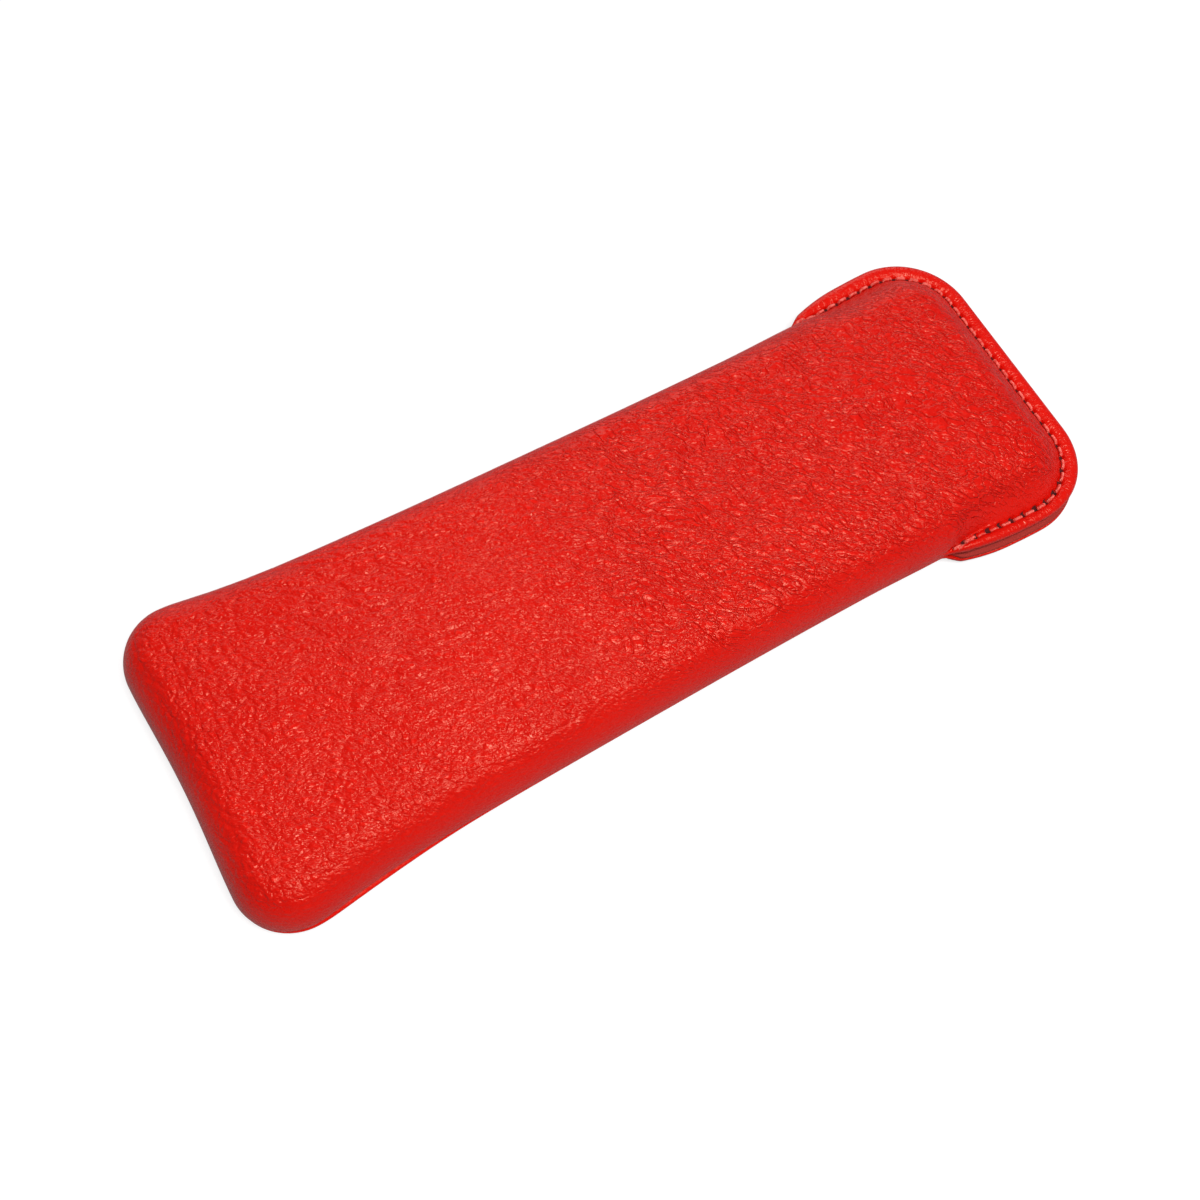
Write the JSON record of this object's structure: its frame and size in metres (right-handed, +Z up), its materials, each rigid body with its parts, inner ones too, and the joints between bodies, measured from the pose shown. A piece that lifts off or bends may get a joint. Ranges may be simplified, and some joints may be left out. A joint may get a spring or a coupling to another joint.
{
  "type": "pen sleeve",
  "caption": "Slim padded leather pen sleeve with a rounded closed end and free, stitched lips at its open mouth.",
  "frame": {"origin": "centre of the bounding box's bottom face, on the surface that the sleeve lies on", "axes": "+X from the closed end to the mouth, +Y across the sleeve, +Z up from the back panel"},
  "size_m": [0.165, 0.0586, 0.013],
  "materials": {
    "leather": "soft grained leather, half gloss",
    "lining": "matte suede",
    "padding": "thin open foam",
    "thread": "twisted sewing thread"
  },
  "bodies": {
    "sleeve": {"front_panel": "leather", "front_padding": "padding", "front_lining": "lining", "back_panel": "leather", "back_padding": "padding", "back_lining": "lining", "seam_stitching": "thread"},
    "front_lip": {"front_lip": "leather", "front_lip_padding": "padding", "front_lip_lining": "lining", "front_lip_stitching": "thread"},
    "back_lip": {"back_lip": "leather", "back_lip_padding": "padding", "back_lip_lining": "lining", "back_lip_stitching": "thread"}
  },
  "joints": [
    {"name": "front_lip_flex", "type": "hinge", "parent": "sleeve", "child": "front_lip", "pos_m": [0.0493, 0, 0.013], "axis": [0, -1, 0], "range_deg": [0, 20], "stiffness_Nm_per_rad": 0.02},
    {"name": "back_lip_flex", "type": "hinge", "parent": "sleeve", "child": "back_lip", "pos_m": [0.0493, 0, 0], "axis": [0, 1, 0], "range_deg": [0, 10], "stiffness_Nm_per_rad": 0.02}
  ]
}
